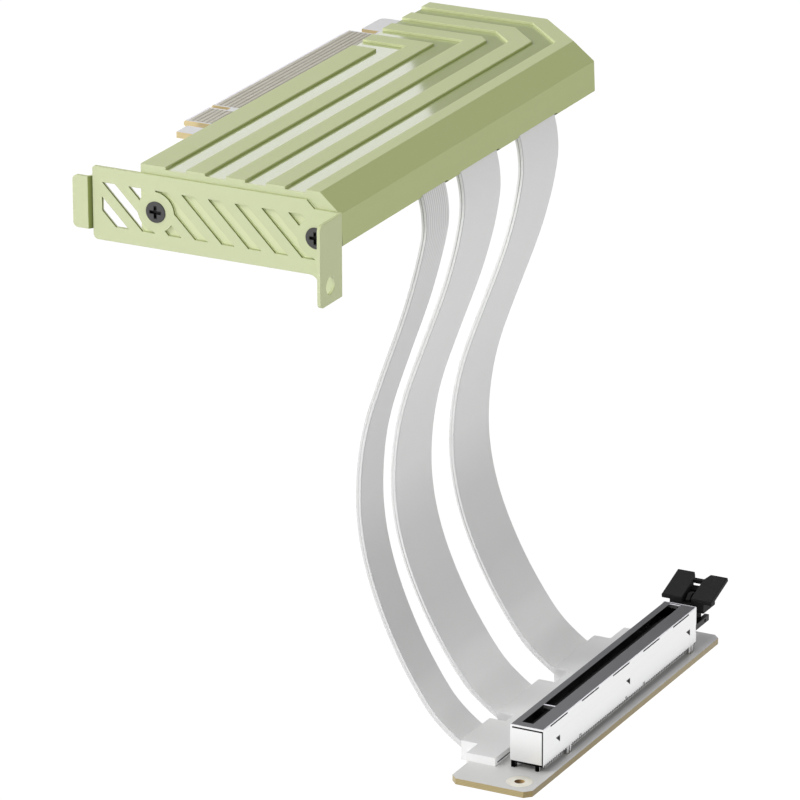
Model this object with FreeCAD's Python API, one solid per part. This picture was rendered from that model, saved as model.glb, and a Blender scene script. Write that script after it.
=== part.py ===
import FreeCAD, Part
import math
import os

V = FreeCAD.Vector

# Flexible x16 extension cable: a covered plug board with a slot bracket, three flat ribbons
# and a shielded socket on its own board. Millimetres. The origin is the centre of the screw
# hole in the bracket's tab, on the tab's seating face. +X runs from the tongue to the tab,
# +Y from the bracket into the case, +Z up.

# Bracket sheet
sheet = 0.86
plate_length = 66.7
plate_width = 18.42
plate_drop = 0.4
plate_corner = 1.3
plate_crown = 0.7
hole_to_plate = 6.0
tab_hole = 4.42
tab_depth = 11.0
tab_low = 4.5
tab_high = 16.0
tab_corner = 1.5
bend = 0.4
leg_inset = 5.4
leg_fillet = 2.6
step_start = 8.5
tongue_length = 4.2
tongue_width = 13.2
tongue_offset = 1.0
tongue_ramp = 0.8

# Slanted vents of the bracket, counted from the one left of the far screw
vent_count = 9
vent_pitch = 7.22
vent_width = 3.5
vent_before = 21.83
vent_low = 3.75
vent_high = 14.6
vent_margin = 2.55
land_radius = 5.0

# Bracket screws, placed from the tab's seating face
screw_near = 6.2
screw_far = 49.43
screw_head = 5.3
screw_proud = 0.3
screw_rim = 0.15
screw_cone = 0.8
cross_reach = 1.45
cross_half = 0.38
cross_depth = 0.9
screw_thread = 2.9
screw_length = 7.0
screw_play = 0.05

# Cover of the card end
cover_left = 53.83
cover_length = 151.4
cover_top = 20.17
cover_bottom = 2.2
top_right = -5.42
chamfer_right = 0.04
chamfer_low = 15.4
side_right = 0.6
side_low = 7.7
floor_right = -7.7
wall = 1.6
roof = 2.6
front_wall = 3.0
corner_leg = 19.9
corner_flare = 4.4

# Grooves in the cover, placed from its left side and from its far face
groove_count = 4
groove_depth = 0.65
groove_start_x = 6.8
groove_pitch_x = 10.77
groove_width_x = 5.6
groove_end_y = 4.6
groove_pitch_y = 10.9
groove_width_y = 5.7
groove_inner_cut = (0.0, 0.0, 2.6, 9.2)
groove_outer_cut = (0.0, 0.0, 7.0, 12.7)

# Plug board and its x16 edge
board_top = 14.93
board_thick = 1.57
edge_tip = 69.4
edge_body = 66.5
board_right = 20.7
board_play = 1.06
board_corner = 1.6
shoulder_width = 5.5
shoulder_depth = 8.5
shoulder_gap = 3.4
edge_short = 12.2
edge_key = 1.9
edge_long = 72.2
key_depth = 5.5
edge_corner = 0.8
edge_bevel = 0.4
hook_gap = 2.6
hook_width = 11.1
hook_depth = 5.0
pad_pitch = 1.0
pad_width = 0.7
pad_length = 10.4
pad_tip = 0.6
pad_thick = 0.05
row_margin = 1.9

# Screws that close the cover, placed from the plug board's two ends
post_radius = 3.0
post_left = 47.5
post_right = 31.5
post_near = 7.3
post_far = 6.6
close_thread = 2.9
close_head = 5.4
close_cone = 1.3
close_play = 0.1

# Ribbons: near edge and width of each, layer thickness, and the notches they leave by
ribbon_1_near = 48.45
ribbon_1_width = 12.2
ribbon_2_near = 68.65
ribbon_2_width = 20.0
ribbon_3_near = 101.05
ribbon_3_width = 20.2
ribbon_bow = (1.0, -0.35, -0.5)
ribbon_layer = 0.67
layer_gap = 0.06
notch_rise = 0.4
notch_side = 0.4
window_left = -4.0
exit_skin = 0.35
exit_rise = 4.9

# Overmoulded strips: both have a neck round each ribbon
neck_side = 1.75
plug_strip = 5.3
plug_lip = 2.0
plug_neck = 4.0
plug_strip_top = 1.9
plug_strip_low = 1.6
plug_before = 0.75
plug_after = 9.95
strip_before = 7.95
strip_clear = 2.4
socket_strip = 7.2
socket_lip = 0.7
socket_neck = 4.6
socket_strip_top = 2.2
socket_strip_low = 1.4
socket_under = 3.0

# Socket board
sock_left = 17.0
sock_width = 21.9
sock_near = 29.7
sock_beyond = 10.5
sock_top = -134.2
sock_thick = 1.6
sock_corner = 1.7
hole_radius = 1.3
hole_inset = 5.3
ring_radius = 3.3
ring_thick = 0.05

# Shielded socket, placed from the board's left and near edges
shield_x = 10.4
shield_y = 12.2
shield_width = 9.3
shield_height = 9.5
shield_lift = 2.0
shield_sheet = 0.3
shield_left_down = 0.5
strap_thick = 0.5
strap_high = 1.0
strap_hold = 0.6
shield_corner = 0.35
slit_start = 3.9
slit_pitch = 17.85
slit_length = 9.7
slit_gap = 0.4
slit_down = 0.15
seam_down = 0.45
seam_in = 0.1
mark_y = (8.15, 48.55, 84.55)
mark_up = 3.05
mark_high = 1.8
mark_long = 2.4
leg_y = (14.6, 86.5)
leg_prong = 0.7
leg_through = 0.4
foot_notch_y = (21.0, 47.4, 58.0)
slot_x = 3.7
slot_width = 1.85
slot_mouth = 3.1
slot_rim = 2.4
slot_lead = 0.6
slot_depth = 8.0
foot_depth = 1.4
foot_inset = 1.7
slot_near = 2.6
slot_short = 12.0
slot_key = 1.6
slot_long = 72.7
slot_wall = 0.9
shield_length = slot_near + slot_short + slot_key + slot_long + slot_wall
sock_length = shield_y + shield_length + sock_beyond
row_offset = 1.0
contact_thick = 0.28
contact_width = 0.6
contact_foot = 0.6
contact_left = 1.2
contact_in = 1.2
contact_slope = 0.5
contact_run = 1.23
contact_down = 3.4
contact_clear = 0.25
recess_play = 0.08

# Latch and the two arms that carry it, placed from the shield's left side and far end
latch_in = 4.9
arm_width = 1.2
arm_length = 8.6
arm_low = 3.4
arm_height = 1.6
pivot_out = 5.8
pivot_radius = 0.45
pivot_play = 0.05
stem_width = 4.6
stem_depth = 3.2
paddle_width = 14.1
paddle_length = 10.7
paddle_thick = 1.2
paddle_rise = 18.5
paddle_gap = 2.9
paddle_up = 0.6
lobe_gap = 4.6
lobe_root = 2.65
lobe_deep = 2.1
bridge = 1.0
tunnel_deep = 1.4
tunnel_high = 0.45
channel_run = 5.6
rib_width = 1.1
block_width = 9.6
block_inset = 0.3
block_depth = 7.2
block_down = 3.0
nose_width = 2.4
nose_length = 1.6
nose_down = 0.95
nose_height = 1.1


def box(x0, x1, y0, y1, z0, z1):
    return Part.makeBox(x1 - x0, y1 - y0, z1 - z0, V(x0, y0, z0))


def prism_y(points, y0, y1):
    ring = [V(x, y0, z) for x, z in points]
    face = Part.Face(Part.makePolygon(ring + ring[:1]))
    return face.extrude(V(0, y1 - y0, 0))


def prism_z(points, z0, z1):
    ring = [V(x, y, z0) for x, y in points]
    face = Part.Face(Part.makePolygon(ring + ring[:1]))
    return face.extrude(V(0, 0, z1 - z0))


def prism_x(points, x0, x1):
    ring = [V(x0, y, z) for y, z in points]
    face = Part.Face(Part.makePolygon(ring + ring[:1]))
    return face.extrude(V(x1 - x0, 0, 0))


def rod(x, y, z, radius, length, along):
    return Part.makeCylinder(radius, length, V(x, y, z), along)


def edges_at(shape, x=None, y=None, z=None):
    found = []
    for edge in shape.Edges:
        ends = [v.Point for v in edge.Vertexes]
        if len(ends) < 2:
            continue
        near = True
        for p in ends:
            near = near and (x is None or abs(p.x - x) < 1e-4)
            near = near and (y is None or abs(p.y - y) < 1e-4)
            near = near and (z is None or abs(p.z - z) < 1e-4)
        if near:
            found.append(edge)
    return found


def inset(points, steps):
    # Move each side of a counter-clockwise outline inwards by its own step
    lines = []
    count = len(points)
    for i in range(count):
        ax, az = points[i]
        bx, bz = points[(i + 1) % count]
        length = math.hypot(bx - ax, bz - az)
        nx = -(bz - az) / length
        nz = (bx - ax) / length
        lines.append((nx, nz, nx * ax + nz * az + steps[i]))
    corners = []
    for i in range(count):
        n1x, n1z, c1 = lines[i - 1]
        n2x, n2z, c2 = lines[i]
        det = n1x * n2z - n1z * n2x
        corners.append(((c1 * n2z - c2 * n1z) / det, (n1x * c2 - n2x * c1) / det))
    return corners


def pitch_row(start, length):
    # Middles of as many contacts as fit in a stretch at the pitch, centred in it
    steps = int((length - row_margin) / pad_pitch + 1e-6)
    first = start + (length - steps * pad_pitch) / 2
    return [first + k * pad_pitch for k in range(steps + 1)]


def save(name, shape):
    shape.exportStep(os.path.join("parts", name + ".step"))


os.makedirs("parts", exist_ok=True)

# Shared places
plate_y = hole_to_plate
plate_low = -plate_drop
plate_high = plate_low + plate_width
plate_left = -plate_length
screw_z = plate_low + plate_width / 2
screws_x = (-screw_far, -screw_near)
cover_y = plate_y + sheet
cover_far = cover_y + cover_length
cover_x = -cover_left
board_low = board_top - board_thick
board_far = cover_far - wall - board_play
edge_end = board_far - hook_width - hook_gap
long_y = edge_end - edge_long
key_y = long_y - edge_key
edge_near = key_y - edge_short
shoulder_end = edge_near - shoulder_gap
board_near = shoulder_end - shoulder_width
ribbon_near = (ribbon_1_near, ribbon_2_near, ribbon_3_near)
ribbon_width = (ribbon_1_width, ribbon_2_width, ribbon_3_width)
sock_low = sock_top - sock_thick
sock_far = sock_near + sock_length

# Slot bracket: flat plate with its tongue, and the bent tab that meets it at the fold line
outline = [
    (plate_left, plate_low),
    (-leg_inset, plate_low),
    (-leg_inset, -tab_low),
    (-bend, -tab_low),
    (-bend, tab_high),
    (-step_start + plate_high - tab_high, tab_high),
    (-step_start, plate_high),
    (plate_left, plate_high),
]
plate = prism_y(outline, plate_y, plate_y + sheet)
plate = plate.makeFillet(plate_corner, edges_at(plate, x=plate_left, z=plate_low))
plate = plate.makeFillet(plate_crown, edges_at(plate, x=plate_left, z=plate_high))
plate = plate.makeFillet(leg_fillet, edges_at(plate, x=-leg_inset, z=plate_low))
bend_y = plate_y - bend
curl = rod(-bend, bend_y, -tab_low, bend + sheet, tab_low + tab_high, V(0, 0, 1))
curl = curl.cut(rod(-bend, bend_y, -tab_low, bend, tab_low + tab_high, V(0, 0, 1)))
curl = curl.common(box(-bend, sheet, bend_y, plate_y + sheet, -tab_low, tab_high))
tab_y = plate_y - tab_depth
tab = box(0, sheet, tab_y, bend_y, -tab_low, tab_high)
rims = edges_at(tab, y=tab_y, z=-tab_low) + edges_at(tab, y=tab_y, z=tab_high)
tab = tab.makeFillet(tab_corner, rims)
tab = tab.cut(rod(-1, 0, 0, tab_hole / 2, sheet + 2, V(1, 0, 0)))
tongue_y = plate_y - tongue_offset
tongue_x = plate_left - tongue_ramp
tongue_end = tongue_x - tongue_length
lean = sheet * 0.45
fold = [
    (tongue_end, tongue_y),
    (tongue_x, tongue_y),
    (plate_left, plate_y),
    (plate_left + sheet, plate_y),
    (plate_left + sheet, plate_y + sheet),
    (plate_left - lean, plate_y + sheet),
    (tongue_x - lean, tongue_y + sheet),
    (tongue_end, tongue_y + sheet),
]
tongue_low = screw_z - tongue_width / 2
tongue_high = screw_z + tongue_width / 2
tongue = prism_z(fold, tongue_low, tongue_high)
rims = edges_at(tongue, x=tongue_end, z=tongue_low) + edges_at(tongue, x=tongue_end, z=tongue_high)
tongue = tongue.makeFillet(plate_corner, rims)
flat = plate.fuse(tongue).removeSplitter()
flange = curl.fuse(tab).removeSplitter()
vent_z0 = plate_low + vent_low
vent_z1 = plate_low + vent_high
vent_lean = vent_high - vent_low
vents = []
for k in range(vent_count):
    x = screws_x[0] - vent_before + k * vent_pitch
    vent = [
        (x, vent_z1),
        (x + vent_width, vent_z1),
        (x + vent_width + vent_lean, vent_z0),
        (x + vent_lean, vent_z0),
    ]
    vents.append(prism_y(vent, plate_y - 2, plate_y + 2))
zone = box(plate_left + vent_margin, -vent_margin, plate_y - 2, plate_y + 2, vent_z0, vent_z1)
for x in screws_x:
    zone = zone.cut(rod(x, plate_y - 2, screw_z, land_radius, 4, V(0, 1, 0)))
    vents.append(rod(x, plate_y - 2, screw_z, screw_thread / 2 + 2 * screw_play, 4, V(0, 1, 0)))
    seat = V(x, plate_y, screw_z)
    wide = screw_head / 2 + screw_play
    vents.append(Part.makeCone(wide, screw_thread / 2 + screw_play, screw_cone, seat, V(0, 1, 0)))
vents = [v.common(zone) for v in vents[:vent_count]] + vents[vent_count:]
flat = flat.cut([v for v in vents if v.Volume > 0.01])
save("slot_bracket", Part.makeCompound([flat, flange]))

# Countersunk bracket screws with cross recesses
screws = []
for x in screws_x:
    head = rod(x, plate_y - screw_proud, screw_z, screw_head / 2, screw_proud, V(0, 1, 0))
    rim = [e for e in head.Edges if abs(e.CenterOfMass.y - plate_y + screw_proud) < 1e-4]
    head = head.makeChamfer(screw_rim, rim)
    seat = V(x, plate_y, screw_z)
    cone = Part.makeCone(screw_head / 2, screw_thread / 2, screw_cone, seat, V(0, 1, 0))
    shank = rod(x, plate_y, screw_z, screw_thread / 2, screw_length, V(0, 1, 0))
    screw = head.fuse([cone, shank])
    y0 = plate_y - screw_proud - 1
    y1 = plate_y - screw_proud + cross_depth
    z = screw_z
    across = box(x - cross_reach, x + cross_reach, y0, y1, z - cross_half, z + cross_half)
    upright = box(x - cross_half, x + cross_half, y0, y1, z - cross_reach, z + cross_reach)
    screws.append(screw.cut([across, upright]))
save("bracket_screws", Part.makeCompound(screws))

# Housing of the card end, one shell that is then parted into two covers
section = [
    (cover_x, cover_bottom),
    (floor_right, cover_bottom),
    (side_right, side_low),
    (chamfer_right, chamfer_low),
    (top_right, cover_top),
    (cover_x, cover_top),
]
hollow = inset(section, [wall, wall, wall, wall, roof, wall])
corner_out = (cover_far - corner_leg) / math.sqrt(2)
reach = 5.0
beyond = cover_far + reach
right = side_right + reach
facet = [
    (corner_out, cover_top + reach),
    (corner_out, cover_top),
    (corner_out + corner_flare, chamfer_low),
    (corner_out + corner_flare, -reach),
    (corner_out + cover_length, -reach),
    (corner_out + cover_length, cover_top + reach),
]
corner = prism_y(facet, 0, 2 * cover_length)
corner.rotate(V(0, 0, 0), V(0, 0, 1), 45)
shell = prism_y(section, cover_y, cover_far).cut(corner)
inside = box(corner_out, corner_out + cover_length, 0, 2 * cover_length, -reach, cover_top + reach)
inside.rotate(V(0, 0, 0), V(0, 0, 1), 45)
room = prism_y(hollow, cover_y + front_wall, cover_far - wall).cut(inside)
shell = shell.cut(room)
room_y = cover_y + front_wall
lower = box(cover_x - 1, right, room_y, beyond, 0, side_low)
gate_y0 = board_near - 0.2
gate_y1 = board_far + 0.2
gate = box(cover_x - 1, cover_x + wall, gate_y0, gate_y1, side_low, board_top + 0.1)
sill = box(cover_x, cover_x + wall, board_near, board_far, side_low - 1, board_low - 0.1)

# Top cover: grooves, ribbon notches with a pocket behind the side wall, screw bosses
top = shell.cut([lower, gate])
tools = []
groove_z = cover_top - groove_depth
for i in range(groove_count):
    x0 = cover_x + groove_start_x + i * groove_pitch_x
    x1 = x0 + groove_width_x
    y1 = cover_far - groove_end_y - (groove_count - 1 - i) * groove_pitch_y
    y0 = y1 - groove_width_y
    inner = groove_inner_cut[i]
    outer = groove_outer_cut[i]
    channel = [(cover_x - 1, y0), (x0 - inner, y0)]
    if inner > 0:
        channel.append((x0, y0 - inner))
    channel = channel + [(x0, cover_y - 1), (x1, cover_y - 1), (x1, y1 - outer)]
    if outer > 0:
        channel.append((x1 - outer, y1))
    channel.append((cover_x - 1, y1))
    tools.append(prism_z(channel, groove_z, cover_top + 1))
side_lean = (chamfer_right - side_right) / (chamfer_low - side_low)
low = side_low - 1
for y, width in zip(ribbon_near, ribbon_width):
    notch = [
        (y - 2 * notch_side - notch_rise, low),
        (y + width + 2 * notch_side + notch_rise, low),
        (y + width + 2 * notch_side + notch_rise, side_low),
        (y + width + notch_side, side_low + notch_rise),
        (y - notch_side, side_low + notch_rise),
        (y - 2 * notch_side - notch_rise, side_low),
    ]
    tools.append(prism_x(notch, window_left, right))
    pocket = [
        (window_left, low),
        (side_right - exit_skin - side_lean, low),
        (side_right - exit_skin + side_lean * exit_rise, side_low + exit_rise),
        (window_left, side_low + exit_rise),
    ]
    tools.append(prism_y(pocket, y - notch_side, y + width + notch_side))
top = top.cut(tools)
roof_low = cover_top - roof
bosses = []
for x in screws_x:
    bosses.append(rod(x, cover_y + 1, screw_z, screw_head / 2 + 0.2, screw_length + 1, V(0, 1, 0)))
posts = [(-x, y) for x in (post_left, post_right) for y in (board_near + post_near, board_far - post_far)]
for x, y in posts:
    bosses.append(rod(x, y, board_top, post_radius, roof_low + 0.2 - board_top, V(0, 0, 1)))
top = top.fuse(bosses)
drills = []
drill = screw_thread / 2 + screw_play
close_drill = close_thread / 2 + close_play
for x in screws_x:
    drills.append(rod(x, cover_y - 1, screw_z, drill, screw_length + 0.6, V(0, 1, 0)))
for x, y in posts:
    drills.append(rod(x, y, board_top - 1, close_drill, 1 + roof_low - board_top, V(0, 0, 1)))
top = top.cut(drills).removeSplitter()
save("top_cover", top)

# Bottom cover: tray with a sloped right wall, ribbon windows and screw posts
bottom = shell.common(lower).fuse(sill)
windows = []
for y, width in zip(ribbon_near, ribbon_width):
    windows.append(box(window_left, right, y - notch_side, y + width + notch_side, 0, side_low + 1))
bottom = bottom.cut(windows)
stands = []
bores = []
for x, y in posts:
    seat = V(x, y, cover_bottom)
    stands.append(rod(x, y, cover_bottom + 0.5, post_radius, board_low - cover_bottom - 0.5, V(0, 0, 1)))
    bores.append(rod(x, y, cover_bottom - 1, close_drill, board_low, V(0, 0, 1)))
    bores.append(Part.makeCone(close_head / 2 + close_play, close_drill, close_cone, seat, V(0, 0, 1)))
bottom = bottom.fuse(stands).cut(bores).removeSplitter()
save("bottom_cover", bottom)

# Countersunk screws from below
closers = []
close_top = roof_low - 0.3
for x, y in posts:
    head = Part.makeCone(close_head / 2, close_thread / 2, close_cone, V(x, y, cover_bottom), V(0, 0, 1))
    shank = rod(x, y, cover_bottom + 1.0, close_thread / 2, close_top - cover_bottom - 1.0, V(0, 0, 1))
    screw = head.fuse(shank)
    z0 = cover_bottom - 1
    z1 = cover_bottom + cross_depth
    across = box(x - cross_reach, x + cross_reach, y - cross_half, y + cross_half, z0, z1)
    upright = box(x - cross_half, x + cross_half, y - cross_reach, y + cross_reach, z0, z1)
    closers.append(screw.cut([across, upright]))
save("cover_screws", Part.makeCompound(closers))

# Plug board with the keyed edge and the retention hook
body_x = -edge_body
tip_x = -edge_tip
outline = [
    (-board_right, board_near),
    (-board_right, board_far),
    (body_x, board_far),
    (body_x, edge_end + hook_gap),
    (body_x + hook_depth, edge_end + hook_gap),
    (body_x + hook_depth, edge_end),
    (tip_x + edge_corner, edge_end),
    (tip_x, edge_end - edge_corner),
    (tip_x, long_y),
    (tip_x + key_depth, long_y),
    (tip_x + key_depth, key_y),
    (tip_x, key_y),
    (tip_x, edge_near),
    (body_x + shoulder_depth, edge_near),
    (body_x + shoulder_depth, shoulder_end),
    (body_x, shoulder_end),
    (body_x, board_near),
]
board = prism_z(outline, board_low, board_top)
board = board.makeFillet(board_corner, edges_at(board, x=body_x, y=board_far))
tips = edges_at(board, x=tip_x, z=board_low) + edges_at(board, x=tip_x, z=board_top)
board = board.makeChamfer(edge_bevel, tips)
through = [rod(x, y, board_low - 1, close_drill + close_play, board_thick + 2, V(0, 0, 1)) for x, y in posts]
save("plug_board", board.cut(through))

# Gold fingers on both faces of the board
pad_rows = pitch_row(edge_near, edge_short) + pitch_row(long_y, edge_long)
pad_x = tip_x + pad_tip
upper = []
lower_pads = []
for y in pad_rows:
    y0 = y - pad_width / 2
    y1 = y + pad_width / 2
    upper.append(box(pad_x, pad_x + pad_length, y0, y1, board_top, board_top + pad_thick))
    lower_pads.append(box(pad_x, pad_x + pad_length, y0, y1, board_low - pad_thick, board_low))
save("plug_fingers_top", Part.makeCompound(upper))
save("plug_fingers_bottom", Part.makeCompound(lower_pads))

# Overmoulded strip on the plug board, with a neck round the start of each ribbon
plug_strip_x = -board_right + plug_lip
plug_neck_x = plug_strip_x + plug_neck
plug_y0 = ribbon_near[0] - plug_before
plug_y1 = ribbon_near[-1] + ribbon_width[-1] + plug_after
plug_z0 = board_low - plug_strip_low
plug_z1 = board_top + plug_strip_top
mould = box(-board_right - plug_strip, plug_strip_x, plug_y0, plug_y1, plug_z0, plug_z1)
necks = []
for y, width in zip(ribbon_near, ribbon_width):
    y0 = y - neck_side
    y1 = y + width + neck_side
    necks.append(box(plug_strip_x - 1, plug_neck_x, max(y0, plug_y0), y1, plug_z0, plug_z1))
mould = mould.fuse(necks)
mould = mould.cut(box(-edge_tip, -board_right, board_near, board_far, board_low, board_top)).removeSplitter()
save("plug_overmould", mould)

# Overmoulded strip on the socket board, which ends before the ring of the far hole
strip_y0 = ribbon_near[0] - strip_before
strip_y1 = sock_far - hole_inset - ring_radius - strip_clear
strip_x = sock_left - socket_lip
neck_x = strip_x - socket_neck
strip_z0 = sock_low - socket_strip_low
strip_z1 = sock_top + socket_strip_top
mould = box(strip_x, sock_left + socket_strip, strip_y0, strip_y1, sock_top, strip_z1)
under = box(strip_x, sock_left + socket_under, strip_y0, strip_y1, strip_z0, strip_z1)
necks = [under]
for y, width in zip(ribbon_near, ribbon_width):
    necks.append(box(neck_x, strip_x + 1, y - neck_side, y + width + neck_side, strip_z0, strip_z1))
mould = mould.fuse(necks)
slot = box(sock_left, sock_left + sock_width, sock_near, sock_far, sock_low, sock_top)
mould = mould.cut(slot).removeSplitter()
save("socket_overmould", mould)

# Ribbons: straight runs joined by tangent arcs, all three with the same bend in X and Z
start_z = (board_top + board_low) / 2
end_z = (strip_z0 + strip_z1) / 2
route = [
    (plug_neck_x, start_z),
    (-6.2, start_z),
    (-1.9, 11.6),
    (0.25, 6.0),
    (0.95, -1.0),
    (0.0, -7.0),
    (-1.4, -13.4),
    (-4.4, -23.9),
    (-10.7, -40.4),
    (-16.1, -55.4),
    (-18.3, -68.9),
    (-18.3, -81.9),
    (-15.4, -95.4),
    (-9.4, -109.6),
    (-2.2, -121.6),
    (neck_x - 7.1, end_z + 4.4),
    (neck_x, end_z),
]

# Share of a ribbon's own bow at each route point: each ribbon hangs a little differently
bow_share = (0, 0, 0, 0, 0, -0.2, -0.4, -0.45, -0.3, 0, 0.5, 0.8, 1.0, 0.75, 0.45, 0.15, 0)


def ribbon_side(points, shift):
    # One face of a ribbon: the route moved sideways, as a list of lines and three-point arcs
    runs = []
    for a, b in zip(points[:-1], points[1:]):
        length = math.hypot(b[0] - a[0], b[1] - a[1])
        runs.append((length, (b[0] - a[0]) / length, (b[1] - a[1]) / length))
    pieces = []
    last = (points[0][0] - runs[0][2] * shift, points[0][1] + runs[0][1] * shift)
    for i in range(1, len(points) - 1):
        l0, ux, uz = runs[i - 1]
        l1, wx, wz = runs[i]
        turn = math.atan2(ux * wz - uz * wx, ux * wx + uz * wz)
        cut = 0.45 * min(l0, l1)
        radius = cut / math.tan(turn / 2)
        begin = (points[i][0] - cut * ux, points[i][1] - cut * uz)
        centre = (begin[0] - uz * radius, begin[1] + ux * radius)
        mid = math.hypot(points[i][0] - centre[0], points[i][1] - centre[1])
        keep = (radius - shift) / radius
        first = (begin[0] - uz * shift, begin[1] + ux * shift)
        scale = keep * abs(radius) / mid
        half = (
            centre[0] + (points[i][0] - centre[0]) * scale,
            centre[1] + (points[i][1] - centre[1]) * scale,
        )
        final = (
            points[i][0] + cut * wx - wz * shift,
            points[i][1] + cut * wz + wx * shift,
        )
        pieces.append((last, first))
        pieces.append((first, half, final))
        last = final
    end = points[-1]
    pieces.append((last, (end[0] - runs[-1][2] * shift, end[1] + runs[-1][1] * shift)))
    return pieces


def ribbon(points, low, high, y, width):
    ax, az = points[-2]
    bx, bz = points[-1]
    longer = points[:-1] + [(bx + 0.3 * (bx - ax), bz + 0.3 * (bz - az))]
    outer = ribbon_side(longer, high)
    inner = [piece[::-1] for piece in ribbon_side(longer, low)[::-1]]
    loop = outer + [(outer[-1][-1], inner[0][0])] + inner + [(inner[-1][-1], outer[0][0])]
    edges = []
    for piece in loop:
        corners = [V(px, y, pz) for px, pz in piece]
        if len(corners) == 3:
            edges.append(Part.Arc(corners[0], corners[1], corners[2]).toShape())
        else:
            edges.append(Part.LineSegment(corners[0], corners[1]).toShape())
    band = Part.Face(Part.Wire(edges)).extrude(V(0, width, 0))
    return band.cut(box(bx, bx + 10, y - 1, y + width + 1, bz - 10, bz + 10))


for number, y in enumerate(ribbon_near):
    gap = layer_gap / 2
    width = ribbon_width[number]
    bow = ribbon_bow[number]
    own = [(x + bow * share, z) for (x, z), share in zip(route, bow_share)]
    save("ribbon_%d_upper" % (number + 1), ribbon(own, gap, gap + ribbon_layer, y, width))
    save("ribbon_%d_lower" % (number + 1), ribbon(own, -gap - ribbon_layer, -gap, y, width))

# Socket board with mounting holes and leg slots
sock_right = sock_left + sock_width
sx0 = sock_left + shield_x
sx1 = sx0 + shield_width
sy0 = sock_near + shield_y
sy1 = sy0 + shield_length
sz0 = sock_top + shield_lift
sz1 = sz0 + shield_height
board = box(sock_left, sock_right, sock_near, sock_far, sock_low, sock_top)
uprights = []
for x in (sock_left, sock_right):
    for y in (sock_near, sock_far):
        uprights += edges_at(board, x=x, y=y)
board = board.makeChamfer(sock_corner, uprights)
holes = [
    (sock_right - hole_inset, sock_near + hole_inset),
    (sock_left + hole_inset, sock_far - hole_inset),
]
tools = [rod(x, y, sock_low - 1, hole_radius, sock_thick + 2, V(0, 0, 1)) for x, y in holes]
leg_half = leg_prong * 1.5
for y in leg_y:
    for x in (sx0, sx1 - shield_sheet):
        a = sy0 + y - leg_half - 0.2
        b = sy0 + y + leg_half + 0.2
        tools.append(box(x - 0.2, x + shield_sheet + 0.2, a, b, sock_low - 1, sock_top + 1))
save("socket_board", board.cut(tools))
rings = []
for x, y in holes:
    for z in (sock_top, sock_low - ring_thick):
        ring = rod(x, y, z, ring_radius, ring_thick, V(0, 0, 1))
        rings.append(ring.cut(rod(x, y, z - 1, hole_radius, 3, V(0, 0, 1))))
save("hole_rings", Part.makeCompound(rings))

# Socket housing: card slot with key and strap seats, contact recesses, feet and latch arms
hx0 = sx0 + shield_sheet
hx1 = sx1 - shield_sheet
hy0 = sy0 + shield_sheet
hy1 = sy1 - shield_sheet
hz0 = sz0 - 0.6
housing = box(hx0, hx1, hy0, hy1, hz0, sz1)
mid_x = sx0 + slot_x
floor_z = sz1 - slot_depth
short_y = sy0 + slot_near
key_end = short_y + slot_short + slot_key
halves = [(short_y, short_y + slot_short), (key_end, key_end + slot_long)]
tools = []
row_half = contact_thick / 2 + recess_play
rim_z = sz1 - slot_rim
slot_far = key_end + slot_long
mouth_x0 = mid_x - slot_mouth / 2
mouth_x1 = mid_x + slot_mouth / 2
mouth = [
    (mid_x - slot_width / 2, rim_z - slot_lead),
    (mid_x + slot_width / 2, rim_z - slot_lead),
    (mouth_x1, rim_z),
    (mouth_x1, sz1 + 1),
    (mouth_x0, sz1 + 1),
    (mouth_x0, rim_z),
]
tools.append(prism_y(mouth, short_y, slot_far))
for y0, y1 in halves:
    tools.append(box(mid_x - slot_width / 2, mid_x + slot_width / 2, y0, y1, floor_z, sz1 + 1))
    for side in (-1, 1):
        x = mid_x + side * row_offset
        tools.append(box(x - row_half, x + row_half, y0, y1, hz0 - 1, sz1 - contact_down + 0.1))
straps = []
strap_z = sz1 - strap_high
for y in (short_y + slot_short, slot_far - strap_thick):
    strap = box(mouth_x0, mouth_x1, y, y + strap_thick, strap_z, sz1)
    reach = strap_hold
    ears = box(mouth_x0 - reach, mouth_x1 + reach, y, y + strap_thick, strap_z, strap_z + strap_hold)
    straps.append(strap.fuse(ears).removeSplitter())
housing = housing.cut(tools + straps)
arm_z = hz0 + arm_low
pivot_y = sy1 + pivot_out
pivot_z = arm_z + arm_height / 2
extras = []
for x in (hx0, hx1 - arm_width):
    extras.append(box(x, x + arm_width, hy1 - 0.5, hy1 + arm_length, arm_z, arm_z + arm_height))
foot_high = hz0 + 0.5 - sock_top
for y in (hy0, hy1 - foot_depth):
    extras.append(box(hx0, hx0 + 1.0, y, y + foot_depth, sock_top, hz0 + 0.5))
    extras.append(rod(hx1 - foot_inset, y + foot_depth / 2, sock_top, foot_depth / 2, foot_high, V(0, 0, 1)))
housing = housing.fuse(extras)
bore = pivot_radius + pivot_play
housing = housing.cut(rod(hx0 - 1, pivot_y, pivot_z, bore, hx1 - hx0 + 2, V(1, 0, 0)))
save("socket_housing", housing.removeSplitter())

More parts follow.
